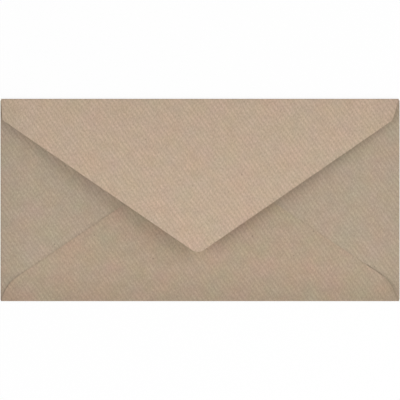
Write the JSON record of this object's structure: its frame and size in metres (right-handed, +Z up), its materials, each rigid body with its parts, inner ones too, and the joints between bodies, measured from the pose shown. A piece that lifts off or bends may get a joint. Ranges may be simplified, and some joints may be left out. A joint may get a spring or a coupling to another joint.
{
  "type": "kraft envelope",
  "caption": "Long post envelope folded from ribbed kraft paper, glued side seams, pointed seal flap with a rounded tip standing slightly ajar on its crease.",
  "frame": {"origin": "centre of the envelope's outline, on the surface that the address side lies on", "axes": "+X along the long side, to the right as the flap side is seen; +Y towards the top fold that the seal flap turns on; +Z up, away from the address side"},
  "size_m": [0.219, 0.111, 0.0076],
  "materials": {
    "kraft_paper": "uncoated, ribbed",
    "kraft_crease": "uncoated, creased",
    "dried_gum": "thin dried film"
  },
  "bodies": {
    "folded_envelope": {"front_panel": "kraft_paper", "bottom_fold": "kraft_crease", "bottom_flap": "kraft_paper", "left_fold": "kraft_crease", "left_side_flap": "kraft_paper", "right_fold": "kraft_crease", "right_side_flap": "kraft_paper", "top_fold": "kraft_crease", "left_seam_gum": "dried_gum", "right_seam_gum": "dried_gum"},
    "flap": {"seal_flap": "kraft_paper", "seal_gum": "dried_gum"}
  },
  "joints": [
    {"name": "flap_hinge", "type": "hinge", "parent": "folded_envelope", "child": "flap", "pos_m": [0, 0.05475, 0.00075], "axis": [-1, 0, 0], "range_deg": [-4, 170], "deforming": ["top_fold"]}
  ]
}
